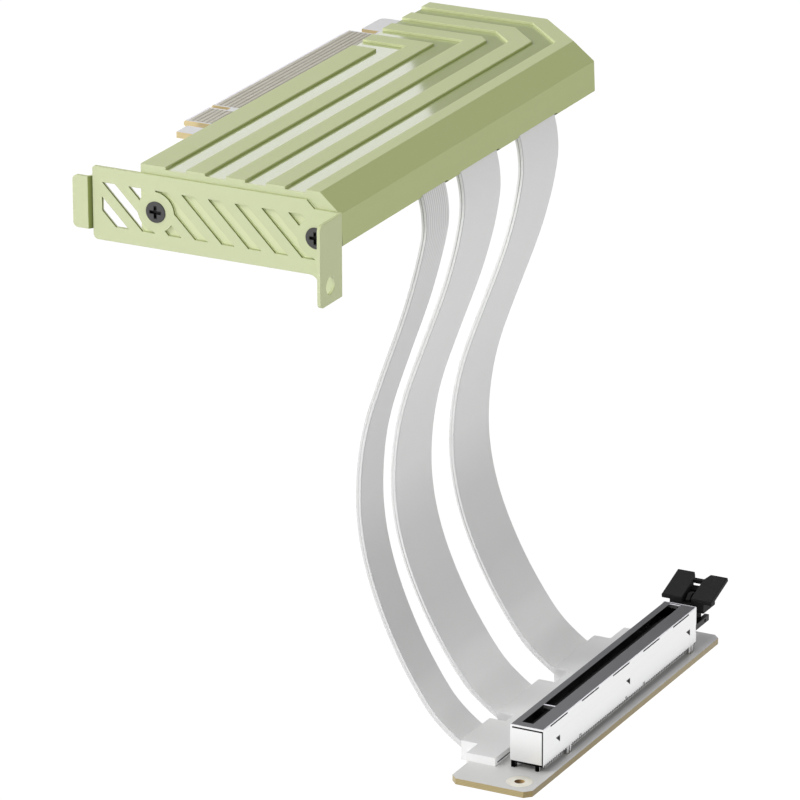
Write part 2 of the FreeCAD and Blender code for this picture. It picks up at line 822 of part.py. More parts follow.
# Contacts: upright blade in the recess, gull-wing foot on the board, short beside a left shield leg
contact_rows = pitch_row(short_y, slot_short) + pitch_row(key_end, slot_long)
blade_top = sz1 - contact_down
run_top = sock_top + contact_run
leg_reach = leg_half + contact_width / 2 + contact_clear
for name, side in (("contacts_left", -1), ("contacts_right", 1)):
    near = mid_x + side * (row_offset - contact_thick / 2)
    back = mid_x + side * (row_offset + contact_thick / 2)
    full_end = (sx0 - contact_left) if side < 0 else (sx1 - contact_in)
    short_end = (hx0 + contact_clear) if side < 0 else full_end
    row = []
    for y in contact_rows:
        beside_leg = min(abs(y - sy0 - leg) for leg in leg_y) < leg_reach
        tail_end = short_end if beside_leg else full_end
        toe = tail_end - side * contact_foot
        knee = toe - side * contact_slope
        under = side * contact_thick * 0.6
        profile = [
            (near, blade_top),
            (near, run_top - contact_thick),
            (knee - under, run_top - contact_thick),
            (toe - under, sock_top),
            (tail_end, sock_top),
            (tail_end, sock_top + contact_thick),
            (toe, sock_top + contact_thick),
            (knee, run_top),
            (back, run_top),
            (back, blade_top),
        ]
        row.append(prism_y(profile, y - contact_width / 2, y + contact_width / 2))
    save(name, Part.makeCompound(row))

# Shield: bent sheet round the housing, and two straps across the slot
shield = box(sx0, sx1, sy0, sy1, sz0, sz1)
inner = box(hx0, hx1, hy0, hy1, sz0 - 1, sz1 + 1)
corners = []
for x in (sx0, sx1):
    for y in (sy0, sy1):
        corners += edges_at(shield, x=x, y=y)
shield = shield.makeFillet(shield_corner, corners).cut(inner)
tools = []
for k in range(5):
    y = sy0 + slit_start + k * slit_pitch
    z = sz1 - slit_down
    tools.append(box(hx1 - 1, sx1 + 1, y, y + slit_length, z - slit_gap, z))
for y in mark_y:
    z = sz0 + mark_up
    mark = [
        (sy0 + y + mark_long / 2, z),
        (sy0 + y + mark_long / 2, z + mark_high),
        (sy0 + y - mark_long / 2, z + mark_high),
    ]
    tools.append(prism_x(mark, sx0 - 1, sx1 + 1))
for y in foot_notch_y:
    tools.append(box(sx0 - 1, sx1 + 1, sy0 + y - 0.6, sy0 + y + 0.6, sz0 - 1, sz0 + 0.6))
tools.append(box(sx0 - 1, hx0, sy0 + 1, sy1 - 1, sz1 - shield_left_down, sz1 + 1))
seam = sz1 - seam_down
seam_x = sx1 - seam_in
tools.append(box(sx0 + 2 * shield_corner, seam_x, sy0 - 1, hy0, seam - slit_gap, seam))
tools.append(box(seam_x - slit_gap, seam_x, sy0 - 1, hy0, sz0 - 1, seam))
for x0, x1 in ((sx0 - 1, hx0 + arm_width + 0.3), (hx1 - arm_width - 0.3, sx1 + 1)):
    tools.append(box(x0, x1, hy1 - 0.2, sy1 + 1, arm_z - 0.3, arm_z + arm_height + 0.3))
shield = shield.cut(tools)
legs = []
for y in leg_y:
    for x in (sx0, sx1 - shield_sheet):
        for shift in (-1.0, 1.0):
            a = sy0 + y + shift * leg_prong - leg_prong / 2
            legs.append(box(x, x + shield_sheet, a, a + leg_prong, sock_low - leg_through, sz0 + 0.3))
shield = shield.fuse(legs).removeSplitter()
save("socket_shield", Part.makeCompound([shield] + straps))

# Latch: stem on the pivot, wedge block, and a two-lobed paddle with an open channel and a rib in it
latch_x = sx0 + latch_in
paddle_y = sy1 + paddle_gap
paddle_z = sz1 + paddle_up
block_z = sz1 - block_down
slope = math.tan(math.radians(paddle_rise))
stem_x0 = latch_x - stem_width / 2
stem_y0 = pivot_y - stem_depth / 2
stem = box(stem_x0, stem_x0 + stem_width, stem_y0, stem_y0 + stem_depth, pivot_z - 0.9, block_z + 0.3)
block_y0 = paddle_y + block_inset
block_y1 = block_y0 + block_depth
under = paddle_z - paddle_thick / 2
block = [
    (block_y0, block_z),
    (block_y1, block_z),
    (block_y1, under + slope * (block_y1 - paddle_y)),
    (block_y0, under + slope * block_inset),
]
block = prism_x(block, latch_x - block_width / 2, latch_x + block_width / 2)
nose_x0 = latch_x - nose_width / 2
nose_z1 = sz1 - nose_down
nose_y0 = block_y0 - nose_length
nose = box(nose_x0, nose_x0 + nose_width, nose_y0, block_y0 + 1, nose_z1 - nose_height, nose_z1)
tip = paddle_width / 2
notch = paddle_length - lobe_deep
plan = [
    (-tip, 0),
    (tip, 0),
    (tip, paddle_length),
    (lobe_gap / 2, paddle_length),
    (lobe_root / 2, notch),
    (-lobe_root / 2, notch),
    (-lobe_gap / 2, paddle_length),
    (-tip, paddle_length),
]
paddle = prism_z(plan, -paddle_thick, 0)
paddle = paddle.makeChamfer(0.2, edges_at(paddle, z=0))
half = lobe_root / 2
channel = box(-half, half, -1, channel_run, -paddle_thick - tunnel_deep, 1)
shallow = box(-half, half, -1, notch - bridge, -paddle_thick - tunnel_high, 1)
tunnel = box(-half, half, -1, paddle_length, -paddle_thick - tunnel_high, -paddle_thick)
low = -paddle_thick - tunnel_deep - 0.2
rib = [
    (0.5, low),
    (notch * 0.6, low),
    (notch * 0.5, -paddle_thick),
    (notch * 0.3, -paddle_thick * 0.3),
    (0.5, -paddle_thick * 0.8),
]
rib = prism_x(rib, -rib_width / 2, rib_width / 2)
for piece in (paddle, channel, shallow, tunnel, rib):
    piece.rotate(V(0, 0, 0), V(1, 0, 0), paddle_rise)
    piece.translate(V(latch_x, paddle_y, paddle_z))
pin = rod(hx0 + 0.2, pivot_y, pivot_z, pivot_radius, hx1 - hx0 - 0.4, V(1, 0, 0))
latch = block.fuse(paddle).cut([channel, shallow, tunnel]).fuse([stem, nose, rib, pin]).removeSplitter()
save("latch", latch)
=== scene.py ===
# %% [markdown]
# # A flexible x16 extension cable, dressed in Blender
# The solids of the cable come from CAD and are already in place, in metres. This lesson
# adds what CAD leaves plain: the three ribbons with their ridged jacket, and a finish for
# every surface. It starts by loading the solids and keeping their box, because the dressed
# model must not grow past it.

# %% Load the solids
import math

import bpy
import numpy as np
from mathutils import Matrix, Vector


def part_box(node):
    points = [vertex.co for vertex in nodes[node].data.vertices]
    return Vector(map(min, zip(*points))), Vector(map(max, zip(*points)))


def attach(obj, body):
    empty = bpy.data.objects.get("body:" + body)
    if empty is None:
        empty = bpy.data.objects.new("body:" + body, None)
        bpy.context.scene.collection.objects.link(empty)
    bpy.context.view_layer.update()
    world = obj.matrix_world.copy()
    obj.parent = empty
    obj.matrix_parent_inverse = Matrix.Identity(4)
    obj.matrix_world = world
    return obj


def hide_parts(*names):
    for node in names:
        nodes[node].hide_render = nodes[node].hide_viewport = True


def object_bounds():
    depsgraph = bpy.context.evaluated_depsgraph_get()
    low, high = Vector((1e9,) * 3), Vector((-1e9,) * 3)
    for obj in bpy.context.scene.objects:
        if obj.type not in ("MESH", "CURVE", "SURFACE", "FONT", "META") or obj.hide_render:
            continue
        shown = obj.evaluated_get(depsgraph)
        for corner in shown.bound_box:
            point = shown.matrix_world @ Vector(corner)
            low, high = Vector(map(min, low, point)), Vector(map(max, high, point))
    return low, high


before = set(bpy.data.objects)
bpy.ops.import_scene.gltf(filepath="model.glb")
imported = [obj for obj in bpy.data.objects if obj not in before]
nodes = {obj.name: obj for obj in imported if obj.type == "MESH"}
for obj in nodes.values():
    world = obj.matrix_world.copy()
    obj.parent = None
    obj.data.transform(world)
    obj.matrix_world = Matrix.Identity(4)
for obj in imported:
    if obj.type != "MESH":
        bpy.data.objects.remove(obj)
cad_low, cad_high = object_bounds()
print("solids:", len(nodes), "box:", [round(v, 4) for v in (*cad_low, *cad_high)])

# %% [markdown]
# ## The camera
# The photograph was taken with a very long lens from the front right and above. A camera could
# be aimed at a target, but then its roll would be a guess. Here it is a place and three
# directions: right, up and backwards. Blender looks along its own -Z, so these three are the
# columns of its rotation. Crossing right and ahead twice makes them exactly square.


# %% Camera
def put_in_scene(name, data):
    """A new object at the origin that holds the data, linked to the scene."""
    thing = bpy.data.objects.new(name, data)
    bpy.context.scene.collection.objects.link(thing)
    return thing


camera_place = Vector((0.63310, -1.18512, 0.46636))
camera_right = Vector((0.8885, 0.4589, -0.0033)).normalized()
camera_ahead = Vector((-0.4316, 0.8331, -0.3458)).normalized()
camera_up = camera_right.cross(camera_ahead).normalized()
camera_right = camera_ahead.cross(camera_up).normalized()

lens = bpy.data.cameras.new("photo_camera")
lens.sensor_width = 36.0
lens.lens = 272.63
lens.clip_start = 0.05
lens.clip_end = 50.0
camera = put_in_scene("photo_camera", lens)
turn = Matrix((camera_right, camera_up, -camera_ahead)).transposed().to_4x4()
camera.matrix_world = Matrix.Translation(camera_place) @ turn
bpy.context.scene.camera = camera
part_middle = (Vector(cad_low) + Vector(cad_high)) / 2
print("camera is", round((camera_place - part_middle).length, 3), "m away")

# %% [markdown]
# ## A small kit for meshes
# The ribbons could be curves with a bevel, but a bevel gives no ridges that fade along the way.
# So each is a grid of points: one direction runs round a profile, the other along a path. The
# grid is worked out as one numpy array, and its quads are index arithmetic, so no loop walks
# over the points. Two things are stored for the finish to read: a UV map, and how deep each
# point lies in the stack of layers.


# %% Grid mesh
def grid_faces(rows, columns):
    """Quads of a tube: point (i, j) joins (i, j+1), (i+1, j+1), (i+1, j); columns close up."""
    i, j = np.meshgrid(np.arange(rows - 1), np.arange(columns), indexing="ij")
    k = (j + 1) % columns
    here, there = i * columns, (i + 1) * columns
    return np.stack((here + j, here + k, there + k, there + j), -1).reshape(-1, 4)


def tube_mesh(name, shells, uv_shells, depth_shells):
    """One object from capped tubes of rows x columns x 3 points, with a UV and a depth for each."""
    points, quads, caps, start = [], [], [], 0
    for shell in shells:
        rows, columns = shell.shape[:2]
        points.append(shell.reshape(-1, 3))
        quads.append(grid_faces(rows, columns)[:, ::-1] + start)
        caps.append(start + np.arange(columns))
        caps.append(start + (rows - 1) * columns + np.arange(columns)[::-1])
        start += rows * columns
    mesh = bpy.data.meshes.new(name)
    faces = np.concatenate(quads).tolist() + [cap.tolist() for cap in caps]
    mesh.from_pydata(np.concatenate(points).tolist(), [], faces)
    corner_points = np.zeros(len(mesh.loops), np.int32)
    mesh.loops.foreach_get("vertex_index", corner_points)
    uvs = np.concatenate([u.reshape(-1, 2) for u in uv_shells])
    layer = mesh.uv_layers.new(name="along")
    layer.data.foreach_set("uv", uvs[corner_points].astype(np.float32).ravel())
    depths = np.concatenate([d.ravel() for d in depth_shells])
    through = mesh.attributes.new("through", "FLOAT", "POINT")
    through.data.foreach_set("value", depths.astype(np.float32))
    mesh.polygons.foreach_set("use_smooth", np.ones(len(mesh.polygons), bool))
    mesh.update()
    return put_in_scene(name, mesh)


# %% [markdown]
# ## The ribbons' route
# Each ribbon leaves the card end under the cover, hangs in a long S and runs into the
# moulded strip of the socket. The route below has the same points as the solids. Straight
# stretches could be joined and smoothed, but a NURBS spline with these control points bends
# evenly, as a springy flat cable does. All three share the route, and each bows a little more
# or less, as real ribbons do.

# %% Route
route = np.array([
    (-14.7, 14.145), (-6.2, 14.145), (-1.9, 11.6), (0.25, 6.0), (0.95, -1.0), (0.0, -7.0),
    (-1.4, -13.4), (-4.4, -23.9), (-10.7, -40.4), (-16.1, -55.4), (-18.3, -68.9), (-18.3, -81.9),
    (-15.4, -95.4), (-9.4, -109.6), (-2.2, -121.6), (4.6, -130.2), (11.7, -134.6),
]) * 0.001
bow_share = np.array([0, 0, 0, 0, 0, -0.2, -0.4, -0.45, -0.3, 0, 0.5, 0.8, 1.0, 0.75, 0.45, 0.15, 0])
spline_order = 3
points_per_span = 12
same_point = 1e-7


def smooth_line(name, points):
    """Points read from a NURBS curve whose control points are the route, without doubles."""
    curve = bpy.data.curves.new(name, "CURVE")
    curve.dimensions = "3D"
    spline = curve.splines.new("NURBS")
    spline.points.add(len(points) - 1)
    four = np.ones((len(points), 4))
    four[:, :3] = points
    spline.points.foreach_set("co", four.ravel())
    spline.order_u = spline_order
    spline.use_endpoint_u = True
    spline.resolution_u = points_per_span
    holder = bpy.data.objects.new(name, curve)
    drawn = bpy.data.meshes.new_from_object(holder)
    line = np.zeros(len(drawn.vertices) * 3)
    drawn.vertices.foreach_get("co", line)
    bpy.data.objects.remove(holder)
    bpy.data.curves.remove(curve)
    bpy.data.meshes.remove(drawn)
    line = line.reshape(-1, 3)
    steps = np.linalg.norm(np.diff(line, axis=0), axis=1)
    return line[np.concatenate(([True], steps > same_point))]


print("route: %d points, %.0f mm from top to bottom" % (len(route), np.ptp(route[:, 1]) * 1000))

# %% [markdown]
# ## The ribbons' profile
# A real ribbon is two thin flat cables, one on the other. Each has its wires side by side,
# and the jacket follows them in fine ridges along the length, with a smooth welt at both
# edges. A bump in the finish could give the ridges, but real ones catch light at a low angle.
# So the profile of one layer is a flat bar with slightly rounded corners whose faces carry small
# waves, one per wire. The waves are tallest where the first ribbon bends out of the cover and
# die away below. The profile is carried along the smooth line: the bar's width stays along Y,
# and its thickness follows the line's normal. A point beside each end of a corner keeps smooth
# shading from bleeding into the flats.

# %% Ribbon profile
layer_thick = 0.00067
wire_pitch = 0.0010
points_per_wire = 6
welt = 0.0011
corner = 0.00009
corner_points = 4
beside = 0.00005


def layer_profile(width):
    """Closed outline (across, up) of one layer, and its wave: |sin| along each wire, minus 1."""
    half = layer_thick / 2
    wires = int((width - 2 * welt) / wire_pitch)
    flat = np.linspace(welt, width - welt, wires * points_per_wire + 1)
    waves = np.abs(np.sin((flat - welt) / (width - 2 * welt) * wires * math.pi)) - 1.0
    flat = np.concatenate(([corner + beside], flat, [width - corner - beside]))
    waves = np.concatenate(([0.0], waves, [0.0]))
    turn = np.linspace(0, math.pi / 2, corner_points)
    low_left = np.stack((corner - corner * np.sin(turn), corner - half - corner * np.cos(turn)), 1)
    low_left = np.concatenate((low_left, [(0.0, corner + beside - half)]))
    left = np.concatenate((low_left, low_left[::-1] * (1, -1)))
    right = np.stack((width - left[::-1, 0], left[::-1, 1]), 1)
    top = np.stack((flat, np.full(len(flat), half)), 1)
    ring = np.concatenate((left, top, right, top[::-1] * (1, -1)))
    still = np.zeros(len(left))
    return ring, np.concatenate((still, waves, still, -waves[::-1]))


def carry(line, ring, wave, tall, middle, near):
    """Point = line + normal * (middle + up + tall * wave), with across along Y."""
    ahead = np.gradient(line, axis=0)
    ahead /= np.linalg.norm(ahead, axis=1)[:, None]
    normal = np.stack((-ahead[:, 2], np.zeros(len(line)), ahead[:, 0]), 1)
    up = middle + ring[None, :, 1] + tall[:, None] * wave[None, :]
    points = line[:, None, :] + normal[:, None, :] * up[:, :, None]
    points[:, :, 1] = near + ring[None, :, 0]
    return points


print("one layer is %.2f mm thick, with a wire every %.1f mm" % (layer_thick * 1000, wire_pitch * 1000))

# %% [markdown]
# ## Three ribbons
# Each ribbon has its own place, width and bow. Its two layers could be two objects, but they
# never part, so they are two tubes in one. The object stands for both solids, which are hidden,
# and it hangs on the cable's body. The UV map counts across and along the ribbon, in tenths of a
# metre.

# %% Ribbons
ribbon_near = (0.04845, 0.06865, 0.10105)
ribbon_width = (0.0122, 0.0200, 0.0202)
ribbon_bow = (0.0010, -0.00035, -0.0005)
ridge = 0.000016
ridge_exit = (0.00006, 0.000012, 0.000012)
exit_start, exit_stop = 0.028, 0.052
layer_gap = 0.00001
uv_per_metre = 10

ribbons = []
for number in range(3):
    width = ribbon_width[number]
    near = ribbon_near[number]
    points = np.zeros((len(route), 3))
    points[:, 0] = route[:, 0] + ribbon_bow[number] * bow_share
    points[:, 1] = near + width / 2
    points[:, 2] = route[:, 1]
    line = smooth_line("ribbon_line", points)
    run = np.concatenate(([0.0], np.cumsum(np.linalg.norm(np.diff(line, axis=0), axis=1))))
    ring, wave = layer_profile(width)
    tall = ridge + ridge_exit[number] * np.clip((exit_stop - run) / (exit_stop - exit_start), 0, 1)
    middles = [side * (layer_gap + layer_thick) / 2 for side in (1, -1)]
    shells = [carry(line, ring, wave, tall, middle, near) for middle in middles]
    uv = np.stack(np.broadcast_arrays(ring[None, :, 0], run[:, None]), -1) * uv_per_metre
    depths = [np.tile(middle + ring[:, 1], (len(line), 1)) for middle in middles]
    piece = tube_mesh("ribbon_%d" % (number + 1), shells, [uv, uv], depths)
    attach(piece, "cable")
    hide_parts("ribbon_%d_upper" % (number + 1), "ribbon_%d_lower" % (number + 1))
    ribbons.append(piece)
    print(piece.name, "length %.1f mm," % (run[-1] * 1000), len(piece.data.polygons), "faces")

# %% [markdown]
# ## What the rays see
# The photograph is a studio picture on pure white. White walls could be built, but a rule in
# the shader is simpler: rays that make the picture, or are mirrored in it, see white, and all
# other rays see a softer light, so that shadows keep their depth. The Light Path node tells the
# kinds of rays apart.


# %% Helpers for the stage
def new_node(tree, kind, values=None):
    """A node of a kind, with values for its named sockets."""
    node = tree.nodes.new(kind)
    for label, value in (values or {}).items():
        node.inputs[label].default_value = value
    return node


def bare_material(name):
    """A material whose tree has only its output node."""
    material = bpy.data.materials.new(name)
    material.use_nodes = True
    material.node_tree.nodes.remove(material.node_tree.nodes["Principled BSDF"])
    return material


def white_to_camera(tree):
    """The largest of three flags: 1 for camera, glossy and transmission rays, 0 for all others."""
    path = tree.nodes.new("ShaderNodeLightPath")
    chosen = path.outputs["Is Camera Ray"]
    for label in ("Is Glossy Ray", "Is Transmission Ray"):
        larger = tree.nodes.new("ShaderNodeMath")
        larger.operation = "MAXIMUM"
        tree.links.new(chosen, larger.inputs[0])
        tree.links.new(path.outputs[label], larger.inputs[1])
        chosen = larger.outputs[0]
    return chosen


def show_by_ray(tree, lit, seen, end):
    """Camera, glossy and transmission rays get the seen shader, and all others the lit one."""
    pick = tree.nodes.new("ShaderNodeMixShader")
    tree.links.new(white_to_camera(tree), pick.inputs[0])
    tree.links.new(lit.outputs[0], pick.inputs[1])
    tree.links.new(seen.outputs[0], pick.inputs[2])
    tree.links.new(pick.outputs[0], tree.nodes[end].inputs["Surface"])


# %% [markdown]
# ## Floor and room
# A pale floor lies well below the hanging socket and keeps a faint shadow. A bent backdrop could
# close off the view behind it, but a white world does so without a mesh.

# %% Floor and room
floor_half, floor_level = 6, -0.21
square = ((-1, -1), (1, -1), (1, 1), (-1, 1))
floor_corners = [(floor_half * i, floor_half * j, floor_level) for i, j in square]
floor_mesh = bpy.data.meshes.new("floor")
floor_mesh.from_pydata(floor_corners, [], [(0, 1, 2, 3)])
floor = put_in_scene("floor", floor_mesh)
floor_finish = bare_material("pale_floor")
tree = floor_finish.node_tree
matt = new_node(tree, "ShaderNodeBsdfDiffuse", {"Color": (0.8, 0.8, 0.8, 1)})
faint = new_node(tree, "ShaderNodeBsdfDiffuse", {"Color": (0.18, 0.18, 0.18, 1)})
glow = new_node(tree, "ShaderNodeEmission", {"Strength": 0.87})
faint_and_glow = tree.nodes.new("ShaderNodeAddShader")
tree.links.new(faint.outputs[0], faint_and_glow.inputs[0])
tree.links.new(glow.outputs[0], faint_and_glow.inputs[1])
show_by_ray(tree, matt, faint_and_glow, "Material Output")
floor_mesh.materials.append(floor_finish)

world = bpy.data.worlds.new("white_room")
bpy.context.scene.world = world
world.use_nodes = True
tree = world.node_tree
soft = tree.nodes["Background"]
soft.inputs["Color"].default_value = (1, 1, 1, 1)
soft.inputs["Strength"].default_value = 0.42
seen = new_node(tree, "ShaderNodeBackground", {"Color": (1, 1, 1, 1), "Strength": 1.0})
show_by_ray(tree, soft, seen, "World Output")
bpy.context.scene.view_settings.view_transform = "Standard"
print("floor at %.0f mm, soft room light %.2f" % (floor_level * 1000, soft.inputs["Strength"].default_value))

# %% [markdown]
# ## Light
# A studio lights such a part with soft boxes. A sky could light it too, but lamps can be placed
# one by one. Four large ones stand round the part: the main one high on the front left, one low
# in front for the ribbons' near edges under the cover, one high on the left for everything that
# looks up, and one on the right for the sides. They stay out of reflections, where they would
# show as bright squares.


# %% Lamps
def soft_lamp(name, place, aim, size, watts):
    """An area lamp at a place, turned so that its -Z looks at aim."""
    data = bpy.data.lights.new(name, "AREA")
    data.shape = "RECTANGLE"
    data.size, data.size_y = size
    data.energy = watts
    lamp = put_in_scene(name, data)
    lamp.location = place
    lamp.rotation_euler = (Vector(aim) - Vector(place)).to_track_quat("-Z", "Y").to_euler()
    lamp.visible_camera = False
    lamp.visible_glossy = False


lamp_aim = (0.0, 0.06, -0.05)
soft_lamp("key", (-1.30, -1.68, 1.86), lamp_aim, size=(1.4, 1.4), watts=37)
soft_lamp("front", (-0.55, -2.6, 0.02), lamp_aim, size=(1.4, 0.4), watts=33)
soft_lamp("left", (-2.1, 0.06, 2.05), lamp_aim, size=(1.4, 1.4), watts=24)
soft_lamp("right", (2.4, -0.2, -0.1), lamp_aim, size=(1.6, 1.6), watts=20)
print("lamps:", [light.name for light in bpy.data.lights])

# %% [markdown]
# ## Two cards for the reflections
# In the photograph the floors of the cover's channels mirror something bright, up to a clear
# slanted line, and something dark beyond it. Painted floors would look right from one side
# only. A mirror on a level floor sends the camera's view on, upwards and away, so two large
# cards stand far behind, a bright one on the left and a dark one on the right. Their common side
# runs through two directions read from the slanted line. They are seen only in reflections.

# %% Cards
mirror_spot = Vector((-0.023, 0.094, 0.019))
card_distance = 3.0
card_tint = (0.89, 0.87, 1.0, 1)
leftwards = Vector((-0.889, -0.457, 0.0))


def far_point(bearing, height):
    """Point at a bearing from +Y (left is negative) and a height angle, both in degrees."""
    a, e = math.radians(bearing), math.radians(height)
    way = Vector((math.cos(e) * math.sin(a), math.cos(e) * math.cos(a), math.sin(e)))
    return mirror_spot + card_distance * way


def card(name, corners, strength):
    """A glowing quad that only glossy rays meet."""
    mesh = bpy.data.meshes.new(name)
    mesh.from_pydata(corners, [], [(0, 1, 2, 3)])
    piece = put_in_scene(name, mesh)
    piece.visible_camera = False
    piece.visible_diffuse = False
    piece.visible_shadow = False
    piece.visible_transmission = False
    shine = bare_material(name)
    tree = shine.node_tree
    glow = new_node(tree, "ShaderNodeEmission", {"Color": card_tint, "Strength": strength})
    tree.links.new(glow.outputs[0], tree.nodes["Material Output"].inputs["Surface"])
    mesh.materials.append(shine)


line_low = far_point(-27.267, 17.057)
line_high = far_point(-27.08, 17.529)
rise = line_high - line_low
card_low = line_low - rise * 20
card_high = line_high + rise * 35
for name, reach, strength in (("bright_card", 2.4, 2.03), ("dark_card", -1.6, 0.15)):
    aside = leftwards * reach
    card(name, [card_low, card_high, card_high + aside, card_low + aside], strength)
    print(name, "glows at", strength)

# %% [markdown]
# ## Fine grain
# Two effects come back in every finish. They could be copied into each, but a node group is
# mended in one place. The first is what powder coat, moulded plastic and jackets show at arm's
# length: a very shallow unevenness, a little light and dark. A fine noise is its height, and its
# shade mixes that with a slower noise.


# %% Fine grain
def new_group(name, ins, outs):
    """An empty shader node group with named sockets, and its two end nodes."""
    group = bpy.data.node_groups.new(name, "ShaderNodeTree")
    for label, kind in ins:
        group.interface.new_socket(label, in_out="INPUT", socket_type=kind)
    for label, kind in outs:
        group.interface.new_socket(label, in_out="OUTPUT", socket_type=kind)
    return group, group.nodes.new("NodeGroupInput"), group.nodes.new("NodeGroupOutput")


fine_share, slow_share = 0.35, 0.65
grain_group, start, end = new_group(
    "fine_grain",
    [("Vector", "NodeSocketVector"), ("Scale", "NodeSocketFloat")],
    [("Shade", "NodeSocketFloat"), ("Height", "NodeSocketFloat")],
)
fine = new_node(grain_group, "ShaderNodeTexNoise", {"Detail": 3.0})
slow = new_node(grain_group, "ShaderNodeTexNoise", {"Detail": 2.0, "Scale": 38.0})
ease = new_node(grain_group, "ShaderNodeMath", {1: slow_share})
ease.operation = "MULTIPLY"
blend = new_node(grain_group, "ShaderNodeMath", {1: fine_share})
blend.operation = "MULTIPLY_ADD"
grain_group.links.new(start.outputs["Vector"], fine.inputs["Vector"])
grain_group.links.new(start.outputs["Scale"], fine.inputs["Scale"])
grain_group.links.new(start.outputs["Vector"], slow.inputs["Vector"])
grain_group.links.new(slow.outputs["Fac"], ease.inputs[0])
grain_group.links.new(fine.outputs["Fac"], blend.inputs[0])
grain_group.links.new(ease.outputs[0], blend.inputs[2])
grain_group.links.new(blend.outputs[0], end.inputs["Shade"])
grain_group.links.new(fine.outputs["Fac"], end.inputs["Height"])
print("group", grain_group.name, "has", len(grain_group.nodes), "nodes")

# %% [markdown]
# ## Soft edges
# The second effect rounds the normals along sharp edges by a fraction of a millimetre, as every
# real edge is rounded. A Bevel modifier could cut true roundings, but the solids stay as they
# are. Where the rounded normal leaves the flat one there is an edge, and the group says so.

# %% Soft edges
edge_group, start, end = new_group(
    "soft_edges",
    [("Radius", "NodeSocketFloat")],
    [("Normal", "NodeSocketVector"), ("Edge", "NodeSocketFloat")],
)
round_off = edge_group.nodes.new("ShaderNodeBevel")
round_off.samples = 6
flat_normal = edge_group.nodes.new("ShaderNodeNewGeometry")
compare = edge_group.nodes.new("ShaderNodeVectorMath")
compare.operation = "DOT_PRODUCT"
spread = new_node(edge_group, "ShaderNodeMapRange", {"From Min": 0.995, "From Max": 0.80})
edge_group.links.new(start.outputs["Radius"], round_off.inputs["Radius"])
edge_group.links.new(round_off.outputs["Normal"], compare.inputs[0])
edge_group.links.new(flat_normal.outputs["Normal"], compare.inputs[1])
edge_group.links.new(compare.outputs["Value"], spread.inputs["Value"])
edge_group.links.new(round_off.outputs["Normal"], end.inputs["Normal"])
edge_group.links.new(spread.outputs["Result"], end.inputs["Edge"])
print("group", edge_group.name, "has", len(edge_group.nodes), "nodes")

# %% [markdown]
# ## Arithmetic in a shader
# A finish is a sheet of arithmetic on places, directions and colours. Its nodes could be joined
# one by one, but that takes many lines, so each step here is a method that adds its nodes and
# hands on the output. Colour often depends on where a point is and which way its face looks, so
# the sheet offers masks: above, below and fade on a place or a direction, and both, which
# multiplies them.


# %% Shader arithmetic
def grey(value):
    """A colour without a hue."""
    return (value, value, value)


class Sheet:
    """A node tree to which each method adds one step."""

    def __init__(self, tree):
        self.tree = tree

    def add(self, kind, values=None):
        """A new node on the sheet."""
        return new_node(self.tree, kind, values)

    def link(self, a, b):
        """Join output a to input b."""
        self.tree.links.new(a, b)

    def axes(self, vector):
        """The three parts of a vector."""
        node = self.add("ShaderNodeSeparateXYZ")
        self.link(vector, node.inputs[0])
        return node.outputs

    def ramp(self, value, a, b, low, high):
        """Map value from a..b to low..high, held at both ends."""
        limits = {"From Min": a, "From Max": b, "To Min": low, "To Max": high}
        node = self.add("ShaderNodeMapRange", limits)
        self.link(value, node.inputs["Value"])
        return node.outputs["Result"]

    def fade(self, value, a, b):
        """0 at a, 1 at b."""
        return self.ramp(value, a, b, 0.0, 1.0)

    def math(self, kind, a, b=0.0):
        """One step of arithmetic on values or plain numbers."""
        node = self.add("ShaderNodeMath")
        node.operation = kind
        for socket, value in zip(node.inputs, (a, b)):
            if isinstance(value, (int, float)):
                socket.default_value = value
            else:
                self.link(value, socket)
        return node.outputs[0]

    def above(self, value, limit):
        """1 where value is over the limit, else 0."""
        return self.math("GREATER_THAN", value, limit)

    def below(self, value, limit):
        """1 where value is under the limit, else 0."""
        return self.math("LESS_THAN", value, limit)

    def gap(self, value, middle=0.0):
        """How far value lies from a middle, on either side."""
        return self.math("ABSOLUTE", self.math("SUBTRACT", value, middle))

    def both(self, *masks):
        """The product of masks: 1 only where all of them are 1."""
        product = masks[0]
        for mask in masks[1:]:
            product = self.math("MULTIPLY", product, mask)
        return product

    def wave(self, value, pitch):
        """A sine that repeats every pitch."""
        return self.math("SINE", self.math("MULTIPLY", value, 2 * math.pi / pitch))

    def mix(self, factor, a, b):
        """Colour a where factor is 0 and b where it is 1."""
        node = self.add("ShaderNodeMix")
        node.data_type = "RGBA"
        self.link(factor, node.inputs["Factor"])
        for socket, value in ((node.inputs[6], a), (node.inputs[7], b)):
            if isinstance(value, tuple):
                socket.default_value = (*value, 1.0)
            else:
                self.link(value, socket)
        return node.outputs[2]


# %% [markdown]
# ## One way to write a finish
# Each finish starts in the same way: object coordinates feed the grain, the grain feeds a bump,
# and the bump sits on the rounded normals. What differs is colour, roughness, and how deep the
# grain is. A face's direction is read from its normal, whose share along an axis says how
# squarely the face looks that way. Four such shares serve as limits for all finishes.

# %% Finish helper
partly, mostly, clearly, squarely = 0.3, 0.5, 0.7, 0.9


